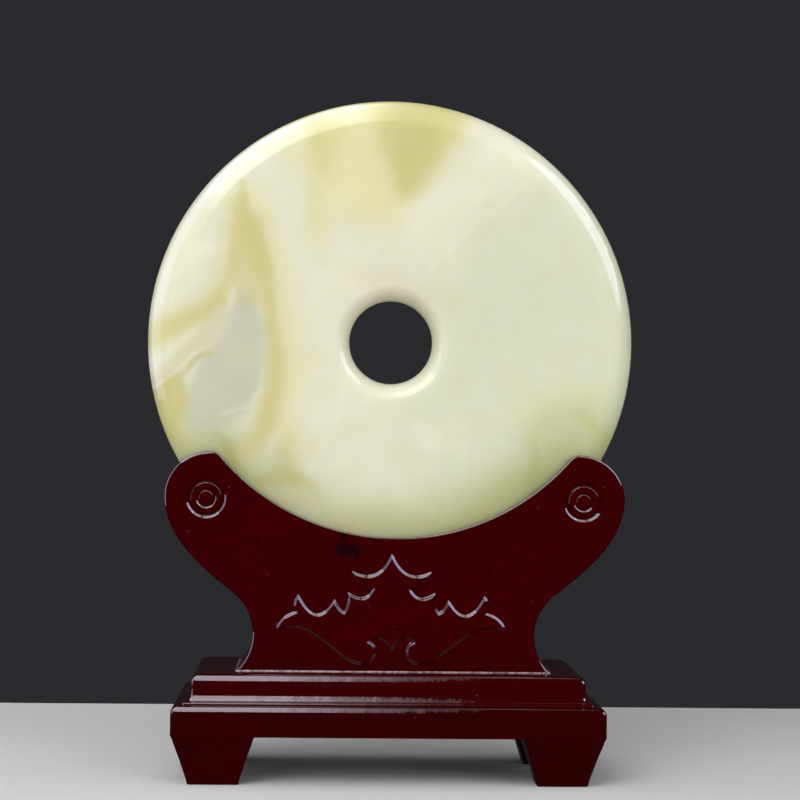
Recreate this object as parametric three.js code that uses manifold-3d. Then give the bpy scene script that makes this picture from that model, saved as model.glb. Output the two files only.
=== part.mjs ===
// A polished jade disc that stands on edge in a carved wooden cradle, on a moulded plinth with four feet.
// Lengths are millimetres. +Z is up, the front faces -Y, and the origin lies on the ground
// under the middle of the plinth.
import * as THREE from "three";
import { mergeVertices } from "three/addons/utils/BufferGeometryUtils.js";
import Module from "manifold-3d";

const wasm = await Module();
wasm.setup();

// Disc: flat faces, a rounded rim and a round hole with softened edges.
const discRadius = 100;
const discThickness = 20;
const rimShoulder = 8.6;
const holeRadius = 17.1;
const holeShoulder = 5.4;
const shoulderStart = 9;
const discSides = 96;
const shoulderSteps = 6;

// Feet: blocks that narrow downwards on all four sides.
const footHeight = 19.6;
const footTopWidth = 32.8;
const footTopDepth = 28;
const footTaper = 6.3;
const footInset = 0.3;
const footCorner = 1;
const footFlare = 0.8;
const footFlareHeight = 2.2;

// Plinth: one board with a moulding worked round its edge, listed from the bottom up.
const plinthWidth = 172;
const plinthDepth = 84;
const plinthCorner = 2.4;
const lowerFascia = 9.3;
const lowerRound = 2.8;
const ledgeWidth = 1.4;
const ledgeStep = 0.8;
const coveRadius = 3.3;
const upperFascia = 4.3;
const upperRound = 3.2;
const mouldingSteps = 5;
const cornerSteps = 4;

// Upright: a board with a hollow top edge between two round arms, and a slot that the disc drops into.
const lipThickness = 10.4;
const slotSideGap = 0.6;
const slotEndGap = 0.3;
const uprightShift = 2.1;
const uprightFootHalf = 63.3;
const waistHalf = 56.9;
const waistHeight = 14.9;
const waistSweep = THREE.MathUtils.degToRad(52);
const armRadius = 18.2;
const armSpread = THREE.MathUtils.degToRad(44);
const armBite = 4;
const armStart = THREE.MathUtils.degToRad(-5);
const lipHeight = 53.9;
const cradleRadius = 93.6;
const discCover = 20.3;
const tipEase = 2.2;
const edgeBevel = 0.8;
const sidePull = 0.35;
const cradleSteps = 36;
const curveSteps = 10;
const easeSteps = 3;

// Carving on the front of the upright.
const reliefHeight = 1.1;
const reliefWidth = 91.8;
const reliefRise = 43.5;
const reliefFoot = 3.4;
const reliefShift = -1.1;
const reliefSteps = 5;
const rosetteShift = 1.4;
const rosetteDrop = 0.6;
const rosetteGrooves = [
  { inner: 2.8, outer: 4.2, depth: 0.7 },
  { inner: 6.1, outer: 8.2, depth: 1.0 },
];
const rosetteSides = 40;
const cutOverlap = 0.5;
const sameSpot = 1e-4;

const slotWidth = discThickness + 2 * slotSideGap;
const uprightThickness = slotWidth + 2 * lipThickness;
const plinthHeight = lowerFascia + lowerRound + ledgeStep + coveRadius + upperFascia + upperRound;
const plinthTop = footHeight + plinthHeight;
const cradleCentre = lipHeight + cradleRadius;
const armReach = cradleRadius + armRadius - armBite;
const armX = armReach * Math.sin(armSpread);
const armHeight = cradleCentre - armReach * Math.cos(armSpread);
const discCentre = lipHeight - discCover + discRadius;

const jade = new THREE.MeshStandardMaterial({ color: 0xd9dcbe, roughness: 0.14, metalness: 0 });
const lacquer = new THREE.MeshStandardMaterial({ color: 0x3a0806, roughness: 0.18, metalness: 0 });

/** Turns a closed three.js geometry into a solid that can be cut and joined. */
function toSolid(geometry) {
  const bare = geometry.clone();
  bare.deleteAttribute("normal");
  bare.deleteAttribute("uv");
  const merged = mergeVertices(bare, sameSpot);
  return new wasm.Manifold(
    new wasm.Mesh({
      numProp: 3,
      vertProperties: new Float32Array(merged.attributes.position.array),
      triVerts: new Uint32Array(merged.index.array),
    }),
  );
}

/** Turns a solid back into a three.js geometry. */
function toGeometry(solid) {
  const mesh = solid.getMesh();
  const geometry = new THREE.BufferGeometry();
  geometry.setAttribute("position", new THREE.BufferAttribute(mesh.vertProperties, 3));
  geometry.setIndex(new THREE.BufferAttribute(mesh.triVerts, 1));
  geometry.computeVertexNormals();
  return geometry;
}

function pieceOf(name, geometry, material) {
  const piece = new THREE.Mesh(geometry, material);
  piece.name = name;
  return piece;
}

/** The points of a rectangle in plan with rounded corners, anticlockwise from above. */
function roundedPlan(halfX, halfY, radius) {
  const points = [];
  const corners = [[1, 1], [-1, 1], [-1, -1], [1, -1]];
  corners.forEach(([signX, signY], quarter) => {
    for (let i = 0; i <= cornerSteps; i += 1) {
      const angle = (quarter + i / cornerSteps) * (Math.PI / 2);
      points.push([
        signX * (halfX - radius) + radius * Math.cos(angle),
        signY * (halfY - radius) + radius * Math.sin(angle),
      ]);
    }
  });
  return points;
}

/** A closed solid through a stack of rounded rectangles, each { halfX, halfY, z }, from the bottom up. */
function stackOf(levels, radius) {
  const position = [];
  const index = [];
  const count = roundedPlan(1, 1, 0).length;
  for (const { halfX, halfY, z } of levels) {
    for (const [x, y] of roundedPlan(halfX, halfY, radius)) position.push(x, y, z);
  }
  for (let level = 0; level + 1 < levels.length; level += 1) {
    for (let i = 0; i < count; i += 1) {
      const a = level * count + i;
      const b = level * count + ((i + 1) % count);
      index.push(a, b, b + count, a, b + count, a + count);
    }
  }
  const bottomCentre = levels.length * count;
  const topCentre = bottomCentre + 1;
  const lastRing = (levels.length - 1) * count;
  position.push(0, 0, levels[0].z, 0, 0, levels.at(-1).z);
  for (let i = 0; i < count; i += 1) {
    const next = (i + 1) % count;
    index.push(bottomCentre, next, i, topCentre, lastRing + i, lastRing + next);
  }
  const geometry = new THREE.BufferGeometry();
  geometry.setAttribute("position", new THREE.BufferAttribute(new Float32Array(position), 3));
  geometry.setIndex(index);
  geometry.computeVertexNormals();
  return geometry;
}

/** A quarter of the disc's section, as radius and depth: from a flat face to the middle of a round wall. */
function shoulder(faceRadius, wallRadius) {
  const half = discThickness / 2;
  const start = THREE.MathUtils.degToRad(shoulderStart);
  const points = [];
  for (let i = 0; i <= shoulderSteps; i += 1) {
    const angle = start + (Math.PI / 2 - start) * (i / shoulderSteps);
    const across = (Math.sin(angle) - Math.sin(start)) / (1 - Math.sin(start));
    points.push(
      new THREE.Vector2(
        THREE.MathUtils.lerp(faceRadius, wallRadius, across),
        half * (Math.cos(angle) / Math.cos(start)),
      ),
    );
  }
  return points;
}

/** The disc, turned about Z and then stood up so that its axis runs along Y. */
function makeDisc() {
  const rim = shoulder(discRadius - rimShoulder, discRadius);
  const bore = shoulder(holeRadius + holeShoulder, holeRadius);
  const otherHalf = (points) => points.slice(0, -1).map((p) => new THREE.Vector2(p.x, -p.y));
  const section = [...bore, ...otherHalf(bore).reverse(), ...otherHalf(rim), ...rim.toReversed()];
  section.push(section[0].clone());
  return pieceOf("disc", new THREE.LatheGeometry(section, discSides), jade);
}

/** How far the plinth's edge stands in from its widest line, and how high, from the bottom up. */
function mouldingProfile() {
  const profile = [{ inset: 0, z: 0 }];
  const turn = (at) => (at / mouldingSteps) * (Math.PI / 2);
  for (let i = 0; i <= mouldingSteps; i += 1) {
    profile.push({
      inset: lowerRound * (1 - Math.cos(turn(i))),
      z: lowerFascia + lowerRound * Math.sin(turn(i)),
    });
  }
  const ledgeInset = lowerRound + ledgeWidth;
  const ledgeTop = lowerFascia + lowerRound + ledgeStep;
  profile.push({ inset: ledgeInset, z: lowerFascia + lowerRound });
  for (let i = 0; i <= mouldingSteps; i += 1) {
    profile.push({
      inset: ledgeInset + coveRadius * Math.sin(turn(i)),
      z: ledgeTop + coveRadius * (1 - Math.cos(turn(i))),
    });
  }
  const upperInset = ledgeInset + coveRadius;
  const roundStart = ledgeTop + coveRadius + upperFascia;
  for (let i = 0; i <= mouldingSteps; i += 1) {
    profile.push({
      inset: upperInset + upperRound * (1 - Math.cos(turn(i))),
      z: roundStart + upperRound * Math.sin(turn(i)),
    });
  }
  return profile;
}

function makePlinth() {
  const levels = mouldingProfile().map(({ inset, z }) => ({
    halfX: plinthWidth / 2 - inset,
    halfY: plinthDepth / 2 - inset,
    z,
  }));
  return pieceOf("plinth", stackOf(levels, plinthCorner), lacquer);
}

function makeFoot(name, signX, signY) {
  const halfX = footTopWidth / 2;
  const halfY = footTopDepth / 2;
  const levels = [
    { halfX: halfX - footTaper, halfY: halfY - footTaper, z: 0 },
    { halfX: halfX - footFlare, halfY: halfY - footFlare, z: footHeight - footFlareHeight },
    { halfX, halfY, z: footHeight },
  ];
  const foot = pieceOf(name, stackOf(levels, footCorner), lacquer);
  foot.position.set(
    signX * (plinthWidth / 2 - footInset - halfX),
    signY * (plinthDepth / 2 - footInset - halfY),
    0,
  );
  return foot;
}

/** Where the round end of an arm runs into the hollow of the cradle, as an angle about each centre. */
function armTip() {
  const dx = armX;
  const dy = armHeight - cradleCentre;
  const apart = Math.hypot(dx, dy);
  const along = (cradleRadius ** 2 - armRadius ** 2 + apart ** 2) / (2 * apart);
  const aside = Math.sqrt(cradleRadius ** 2 - along ** 2);
  const point = new THREE.Vector2(
    (along * dx - aside * dy) / apart,
    cradleCentre + (along * dy + aside * dx) / apart,
  );
  return {
    point,
    armAngle: Math.atan2(point.y - armHeight, point.x - armX),
    cradleAngle: Math.atan2(point.y - cradleCentre, point.x),
  };
}

/** The right half of the upright's outline, from the foot to the bottom of the hollow. */
function uprightHalf() {
  const tip = armTip();
  const waistRadius = ((uprightFootHalf - waistHalf) ** 2 + waistHeight ** 2)
    / (2 * (uprightFootHalf - waistHalf));
  const waistX = waistHalf + waistRadius;
  const footAngle = Math.atan2(-waistHeight, uprightFootHalf - waistX) + 2 * Math.PI;
  const waistEnd = Math.PI - waistSweep;
  const armEnd = tip.armAngle - tipEase / armRadius;
  const cradleStart = tip.cradleAngle - tipEase / cradleRadius;
  const onCircle = (x, y, radius, angle) => new THREE.Vector2(
    x + radius * Math.cos(angle),
    y + radius * Math.sin(angle),
  );
  const leave = onCircle(waistX, waistHeight, waistRadius, waistEnd);
  const arrive = onCircle(armX, armHeight, armRadius, armStart);
  const pull = leave.distanceTo(arrive) * sidePull;
  const leaveAim = new THREE.Vector2(Math.sin(waistEnd), -Math.cos(waistEnd)).multiplyScalar(pull);
  const arriveAim = new THREE.Vector2(Math.sin(armStart), -Math.cos(armStart)).multiplyScalar(pull);

  const arc = (x, y, radius, from, to, steps) => Array.from(
    { length: steps + 1 },
    (_, i) => onCircle(x, y, radius, from + (to - from) * (i / steps)),
  );
  const side = new THREE.CubicBezierCurve(
    leave,
    leave.clone().add(leaveAim),
    arrive.clone().add(arriveAim),
    arrive,
  );
  const easeFrom = onCircle(armX, armHeight, armRadius, armEnd);
  const easeTo = onCircle(0, cradleCentre, cradleRadius, cradleStart);
  const ease = new THREE.QuadraticBezierCurve(easeFrom, tip.point, easeTo);
  return [
    ...arc(waistX, waistHeight, waistRadius, footAngle, waistEnd, curveSteps),
    ...side.getPoints(curveSteps).slice(1),
    ...arc(armX, armHeight, armRadius, armStart, armEnd, curveSteps).slice(1),
    ...ease.getPoints(easeSteps).slice(1),
    ...arc(0, cradleCentre, cradleRadius, cradleStart, -Math.PI / 2, cradleSteps / 2).slice(1),
  ];
}

/** A closed outline from its right half, whose last point lies on the middle line. */
function mirrored(half) {
  const left = half
    .filter((p) => p.x > sameSpot)
    .map((p) => new THREE.Vector2(-p.x, p.y))
    .reverse();
  return new THREE.Shape([...half, ...left]);
}

/** The right half of the carved figure, a winged, tiered cloud. Shares of its half width and its height. */
function figureHalf() {
  const strokes = [
    [[0, 1], [0.115, 0.721], [0.344, 0.841]],
    [[0.286, 0.711], [0.155, 0.697]],
    [[0.225, 0.534], [0.379, 0.644]],
    [[0.357, 0.572], [0.414, 0.464]],
    [[0.471, 0.491], [0.501, 0.577]],
    [[0.66, 0.294], [0.819, 0.618]],
    [[0.869, 0.551], [0.832, 0.469]],
    [[0.966, 0.429], [1, 0.32]],
    [[0.675, 0.439], [0.479, 0.014], [0.261, 0]],
    [[0.142, -0.014], [0.087, 0.163], [0.205, 0.2]],
    [[0.131, 0.278], [0.033, 0.232], [0, 0.124]],
  ];
  const at = ([x, y]) => new THREE.Vector2((x * reliefWidth) / 2, reliefFoot + y * reliefRise);
  const points = [];
  let from = at(strokes[0][0]);
  strokes.forEach((stroke, i) => {
    const knots = (i === 0 ? stroke.slice(1) : stroke).map(at);
    const curve = knots.length === 2
      ? new THREE.QuadraticBezierCurve(from, ...knots)
      : new THREE.CubicBezierCurve(from, ...knots);
    points.push(...curve.getPoints(knots.length * reliefSteps).slice(i === 0 ? 0 : 1));
    from = knots.at(-1);
  });
  return points;
}

/** A plate of an outline drawn in X and Z, from y = front to y = back. */
function plateOf(shape, front, back, bevel) {
  const geometry = new THREE.ExtrudeGeometry(shape, {
    depth: back - front - 2 * bevel,
    bevelEnabled: bevel > 0,
    bevelThickness: bevel,
    bevelSize: bevel,
    bevelOffset: -bevel,
    bevelSegments: 1,
  });
  geometry.rotateX(Math.PI / 2);
  geometry.translate(0, back - bevel, 0);
  return toSolid(geometry);
}

/** A ring-shaped cutter with a V section, whose rim lies in the front face of the upright. */
function grooveCutter({ inner, outer, depth }, x, z) {
  const profile = [
    new THREE.Vector2(inner, -cutOverlap),
    new THREE.Vector2(outer, -cutOverlap),
    new THREE.Vector2(outer, 0),
    new THREE.Vector2((inner + outer) / 2, depth),
    new THREE.Vector2(inner, 0),
    new THREE.Vector2(inner, -cutOverlap),
  ];
  const geometry = new THREE.LatheGeometry(profile, rosetteSides);
  geometry.translate(x, -uprightThickness / 2, z);
  return toSolid(geometry);
}

function makeUpright() {
  const front = -uprightThickness / 2;
  const outline = uprightHalf();
  const footEnd = new THREE.Vector2(outline[0].x, outline[0].y - 2 * edgeBevel);
  const board = plateOf(mirrored([footEnd, ...outline]), front, -front, edgeBevel);
  const figure = plateOf(mirrored(figureHalf()), front - reliefHeight, front + cutOverlap, 0);
  let solid = board.add(figure.translate([reliefShift, 0, 0]));
  for (const side of [-1, 1]) {
    for (const groove of rosetteGrooves) {
      const cutter = grooveCutter(groove, side * (armX + rosetteShift), armHeight - rosetteDrop);
      solid = solid.subtract(cutter);
    }
  }
  const slotRadius = discRadius + slotEndGap;
  const slot = new THREE.CylinderGeometry(slotRadius, slotRadius, slotWidth, discSides);
  slot.translate(-uprightShift, 0, discCentre);
  // The board is drawn a little too long, so that its foot is cut off square where it meets the plinth.
  const below = new THREE.BoxGeometry(4 * uprightFootHalf, 2 * uprightThickness, uprightFootHalf);
  below.translate(0, 0, -uprightFootHalf / 2);
  solid = solid.subtract(toSolid(slot)).subtract(toSolid(below));
  return pieceOf("upright", toGeometry(solid), lacquer);
}

const ornament = new THREE.Group();
for (const [sideName, signX] of [["left", -1], ["right", 1]]) {
  for (const [endName, signY] of [["front", -1], ["back", 1]]) {
    ornament.add(makeFoot(`foot_${endName}_${sideName}`, signX, signY));
  }
}
const plinth = makePlinth();
plinth.position.z = footHeight;
const upright = makeUpright();
upright.position.set(uprightShift, 0, plinthTop);
const disc = makeDisc();
disc.position.z = plinthTop + discCentre;
ornament.add(plinth, upright, disc);

export default ornament;
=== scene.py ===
"""Dresses the disc ornament: a polished jade disc in a cradle of lacquered wood, in plain studio light."""
import math

import bmesh
import bpy
import numpy as np
from mathutils import Matrix, Vector
from mathutils.geometry import tessellate_polygon


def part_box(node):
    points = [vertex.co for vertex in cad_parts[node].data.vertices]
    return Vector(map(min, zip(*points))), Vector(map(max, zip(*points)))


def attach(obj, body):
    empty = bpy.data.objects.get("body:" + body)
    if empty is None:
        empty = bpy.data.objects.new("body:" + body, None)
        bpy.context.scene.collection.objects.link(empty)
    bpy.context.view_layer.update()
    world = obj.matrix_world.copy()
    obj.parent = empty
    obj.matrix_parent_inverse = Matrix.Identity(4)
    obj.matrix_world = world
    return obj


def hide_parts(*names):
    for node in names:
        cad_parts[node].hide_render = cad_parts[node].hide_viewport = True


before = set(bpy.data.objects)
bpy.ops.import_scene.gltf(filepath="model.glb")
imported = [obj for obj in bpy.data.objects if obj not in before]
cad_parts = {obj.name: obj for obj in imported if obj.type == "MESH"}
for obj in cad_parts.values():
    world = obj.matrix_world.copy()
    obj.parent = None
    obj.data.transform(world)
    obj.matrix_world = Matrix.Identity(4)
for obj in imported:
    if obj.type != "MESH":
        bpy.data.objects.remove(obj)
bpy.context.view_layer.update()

MM = 0.001

# Sizes of the solids, in millimetres, kept the same as in the part's source
HOLE_RADIUS = 17.1
FOOT_TAPER = 6.3
FOOT_FLARE = 0.8
FOOT_FLARE_HEIGHT = 2.2
LOWER_FASCIA = 9.3
LOWER_ROUND = 2.8
LEDGE_WIDTH = 1.4
LEDGE_STEP = 0.8
COVE_RADIUS = 3.3
UPPER_FASCIA = 4.3
UPPER_ROUND = 3.2
LIP_THICKNESS = 10.4
SLOT_END_GAP = 0.3
UPRIGHT_SHIFT = 2.1
UPRIGHT_FOOT_HALF = 63.3
WAIST_HALF = 56.9
WAIST_HEIGHT = 14.9
WAIST_SWEEP = math.radians(52)
ARM_RADIUS = 18.2
ARM_SPREAD = math.radians(44)
ARM_BITE = 4
ARM_START = math.radians(-5)
LIP_HEIGHT = 53.9
CRADLE_RADIUS = 93.6
TIP_EASE = 2.2
SIDE_PULL = 0.35
RELIEF_HEIGHT = 1.1
RELIEF_WIDTH = 91.8
RELIEF_RISE = 43.5
RELIEF_FOOT = 3.4
RELIEF_SHIFT = -1.1
ROSETTE_SHIFT = 1.4
ROSETTE_DROP = 0.6
ROSETTE_GROOVES = ((2.8, 4.2, 0.7), (6.1, 8.2, 1.0))
GROOVE_BOTTOM = 0.3
GROOVE_SOFTNESS = 0.16

# The carving on the front, a winged, tiered cloud: strokes in shares of its half width and its height
FIGURE_STROKES = (
    ((0, 1), (0.115, 0.721), (0.344, 0.841)),
    ((0.286, 0.711), (0.155, 0.697)),
    ((0.225, 0.534), (0.379, 0.644)),
    ((0.357, 0.572), (0.414, 0.464)),
    ((0.471, 0.491), (0.501, 0.577)),
    ((0.66, 0.294), (0.819, 0.618)),
    ((0.869, 0.551), (0.832, 0.469)),
    ((0.966, 0.429), (1, 0.32)),
    ((0.675, 0.439), (0.479, 0.014), (0.261, 0)),
    ((0.142, -0.014), (0.087, 0.163), (0.205, 0.2)),
    ((0.131, 0.278), (0.033, 0.232), (0, 0.124)),
)

# Finer sizes that only the visible surface has, in millimetres
ARRIS = 1.15
HOLLOW_ARRIS = 0.55
HOLLOW_FADE = 3.0
SLOT_ARRIS = 0.5
SLOT_ARRIS_FADE = 4.0
CHAIN_STEP = 0.6
CARVING_STEP = 0.3
CARVING_EDGE = 1.15
CARVING_MARGIN = 1.9
ROSETTE_RADIUS = 9.4
PLINTH_CORNER = 1.8
PLINTH_ARRIS = 0.4
FOOT_CORNER = 0.9
FOOT_ARRIS = 0.5
FOOT_SWELL = 0.15
BEAD_RADIUS = 0.45
RIM_SHOULDER = 10.0
HOLE_SHOULDER = 6.4
SHOULDER_POWER = 1.12

# The foot's edge at the ground, as insets and heights in shares of its arris
FOOT_SOLE = ((0.8, 0), (0.1, 0.3), (-0.3, 1))
FOOT_FLARE_POWER = 1.5

# How finely the visible surface is cut, in steps to each stretch, and how it is joined and shaded
DISC_SIDES = 288
SHOULDER_STEPS = 26
LOWER_ROUND_STEPS = 14
UPPER_ROUND_STEPS = 16
COVE_SHARES = np.linspace(0.12, 1, 14)
FOOT_SIDE_SHARES = np.linspace(0.1, 1, 7)
FOOT_FLARE_SHARES = np.linspace(0.25, 1, 4)
WAIST_STEPS = 60
SIDE_STEPS = 60
ARM_STEPS = 90
EASE_STEPS = 12
CRADLE_STEPS = 120
STROKE_STEPS = 16
ARRIS_STEPS = 6
SLOT_ARRIS_STEPS = 4
SLOT_FLOOR_STEPS = 240
GROOVE_SAMPLES = 941
ROSETTE_RINGS = 76
ROSETTE_SIDES = 96
DEPTH_BATCH = 4000
WELD = 1e-4
SHARP_ANGLE = math.radians(60)
NORMAL_WEIGHT = 80

# Colours

def colour(red, green, blue):
    """A colour given as sRGB values from 0 to 255."""
    def linear(value):
        share = value / 255
        return share / 12.92 if share <= 0.04045 else ((share + 0.055) / 1.055) ** 2.4
    return (linear(red), linear(green), linear(blue), 1.0)


JADE_CREAM = colour(224, 223, 203)
CLEAR_CREAM = colour(233, 231, 212)
GREY_GREEN = colour(213, 217, 193)
YELLOW_HAZE = colour(225, 221, 176)
OLIVE = colour(207, 201, 141)
DEEP_OLIVE = colour(196, 191, 124)
# Green of the stone, also used to paint shade low on the disc
STONE_GREEN_AND_SHADE = colour(181, 185, 122)
GREY_LENS = colour(200, 198, 178)
BEIGE = colour(211, 207, 180)
HEALED_CRACK = colour(236, 232, 212)
# Painted shade above the hole
WARM_PAINTED_SHADE = colour(206, 190, 166)
PALE_CLOUD = colour(238, 237, 222)

LACQUER_DEEP = colour(52, 0, 1)
LACQUER_WARM = colour(62, 1, 4)
LACQUER_CLOUD = colour(50, 0, 2)
LACQUER_LOW = colour(41, 0, 2)
STAIN_COLOUR = colour(24, 3, 5)
DUST_COLOUR = colour(150, 118, 124)
BEAD_LACQUER = colour(62, 14, 18)
# Pale flecks on the bead: partly dust, partly a painted highlight
BEAD_DUST_AND_HIGHLIGHT = colour(156, 124, 128)

# Pattern of the jade, with painted shade laid on it. Places are millimetres right of and above the middle
# of the disc
GREY_LENS_OUTLINE = [
    (-62, 22), (-73, 2), (-84, -18), (-87, -31), (-78, -39),
    (-66, -36), (-56, -27), (-51, -14), (-51, 6), (-56, 16),
]

# The features in the order in which they lie on each other: kind, strength, colour and shape. Most are the
# stone's own; the ring and the spot after it also paint shade low on the disc, and the shade is painted
# shade above the hole. An area has convex corners, anticlockwise, and the width of its edge. A spot or a
# shade is an ellipse, with its centre, its radii and a tilt in degrees. A vein follows points: it is full
# up to one distance and gone past the other. A ring grows between two radii, and between two heights.
JADE_FEATURES = (
    ("area", 0.7, GREY_GREEN, [(14, 26), (-4, -20), (40, -120), (140, -60), (140, 60), (64, 74)], 40),
    ("spot", 0.6, CLEAR_CREAM, (-16, 22), (36, 28), 20),
    ("area", 0.95, YELLOW_HAZE, [(-42, 106), (-38, 64), (-10, 44), (2, 46), (28, 84), (36, 106)], 24),
    ("vein", 0.6, YELLOW_HAZE, [(-32, 60), (-31, 42)], 0, 9),
    ("area", 0.8, OLIVE, [(-16, 106), (-9, 84), (1, 57), (7, 57), (27, 82), (40, 106)], 13),
    ("area", 0.38, DEEP_OLIVE, [(-7, 104), (-2, 82), (4, 60), (7, 60), (17, 80), (25, 104)], 13),
    ("area", 0.5, OLIVE, [(-36, 92), (-35, 72), (-28, 68), (-20, 82), (-20, 92)], 9),
    ("vein", 0.15, OLIVE, [(-31, 76), (-32, 46)], 0, 8),
    ("spot", 0.4, YELLOW_HAZE, (-38, 76), (34, 44)),
    ("vein", 0.6, CLEAR_CREAM, [(14, 50), (34, 68), (60, 82)], 2, 15),
    ("spot", 0.4, YELLOW_HAZE, (64, -28), (46, 36)),
    # The next ring and spot paint shade low on the disc, near the rim and along the cradle's arm, over the
    # stone's own green
    ("ring", 0.85, STONE_GREEN_AND_SHADE, (54, 84), (-10, -56)),
    ("spot", 0.8, STONE_GREEN_AND_SHADE, (70, -56), (58, 34), 32),
    ("spot", 0.9, DEEP_OLIVE, (4, -80), (24, 16)),
    ("spot", 0.7, STONE_GREEN_AND_SHADE, (-52, -60), (44, 26), -48),
    ("spot", 0.6, CLEAR_CREAM, (10, -46), (34, 20), 30),
    ("spot", 0.8, CLEAR_CREAM, (-76, 40), (20, 32), 20),
    ("spot", 0.9, YELLOW_HAZE, (-39, -30), (22, 40)),
    ("spot", 0.85, OLIVE, (-42, -38), (21, 32), 8),
    ("spot", 0.75, STONE_GREEN_AND_SHADE, (-52, -54), (36, 24), -44),
    ("vein", 0.5, YELLOW_HAZE, [
        (-60, 56), (-54, 44), (-48, 28), (-44, 10), (-43, -8), (-45, -32),
    ], 2, 13),
    ("vein", 0.4, OLIVE, [(-57, 46), (-52.5, 28), (-49, 10), (-47, -8), (-49, -30)], 0, 11),
    ("vein", 0.45, OLIVE, [(-64, 54), (-66, 40), (-70, 26), (-76, 15), (-86, 9), (-98, 4)], 0, 9),
    ("vein", 0.5, OLIVE, [(-62.5, 65), (-59, 50)], 0.2, 3.2),
    ("vein", 0.7, OLIVE, [(-57.5, 45), (-54, 30)], 2, 8),
    ("area", 0.7, OLIVE, [(-62, 56), (-67, 26), (-62, 12), (-54, 14), (-50, 28), (-57, 52)], 7),
    ("vein", 0.8, OLIVE, [(-58, 48), (-56, 42), (-52.5, 28), (-49.5, 10), (-48, -6)], 0.4, 5.6),
    ("vein", 0.85, OLIVE, [(-47.5, -6), (-48, -21), (-51, -35), (-57, -44)], 0.6, 7.5),
    ("area", 0.9, GREY_LENS, GREY_LENS_OUTLINE, 8),
    ("vein", 0.65, OLIVE, [(-62, 58), (-63, 42), (-66, 27), (-71, 16)], 0.5, 4.6),
    ("vein", 0.8, OLIVE, [(-71, 16), (-78, 10), (-89, 5), (-97, 0)], 0.8, 7),
    ("vein", 0.9, BEIGE, [(-70, 9), (-78, -2), (-88, -12), (-97, -20)], 2.5, 6.5),
    ("vein", 0.6, DEEP_OLIVE, [(-74, -5), (-79, -8), (-85, -14), (-95, -22)], 0.2, 2.2),
    ("vein", 0.95, DEEP_OLIVE, [(-89, -21), (-90, -32), (-92, -44)], 3, 9),
    ("vein", 0.35, HEALED_CRACK, [(-72, 0), (-81, -7), (-96, -20)], 0.1, 1.3),
    ("vein", 0.25, HEALED_CRACK, [(-52, -12), (-54, -21), (-58, -27), (-69, -31)], 0.1, 1.6),
    ("vein", 0.3, HEALED_CRACK, [(-20, -17), (-21, -29), (-33, -54)], 0.2, 2.2),
    ("vein", 0.25, HEALED_CRACK, [(15, 30), (29, 43), (41, 54), (62, 71)], 0.3, 1.8),
    # Painted shade: a warm darkening above the hole, where its edge turns down
    ("shade", 0.3, WARM_PAINTED_SHADE, (0, 16), (33, 24)),
)

# Dark marks on the front of the board, in millimetres: places across and up, and radii
STAIN_SPOTS = (((-17.8, 92.4), (6.4, 4.4)), ((-13.6, 91.0), (3.6, 5.4)), ((-18.2, 98.0), (2.6, 5.4)))

disc_low, disc_high = (np.array(corner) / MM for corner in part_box("disc"))
upright_low, upright_high = (np.array(corner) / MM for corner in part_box("upright"))
plinth_low, plinth_high = (np.array(corner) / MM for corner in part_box("plinth"))
DISC_RADIUS = (disc_high[0] - disc_low[0]) / 2
DISC_HALF = (disc_high[1] - disc_low[1]) / 2
DISC_CENTRE_Z = (disc_high[2] + disc_low[2]) / 2
PLINTH_TOP = plinth_high[2]
BOARD_BACK = upright_high[1]
SLOT_HALF = BOARD_BACK - LIP_THICKNESS
CRADLE_CENTRE = LIP_HEIGHT + CRADLE_RADIUS
ARM_REACH = CRADLE_RADIUS + ARM_RADIUS - ARM_BITE
ARM_X = ARM_REACH * math.sin(ARM_SPREAD)
ARM_HEIGHT = CRADLE_CENTRE - ARM_REACH * math.cos(ARM_SPREAD)


# Mesh tools

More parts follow.
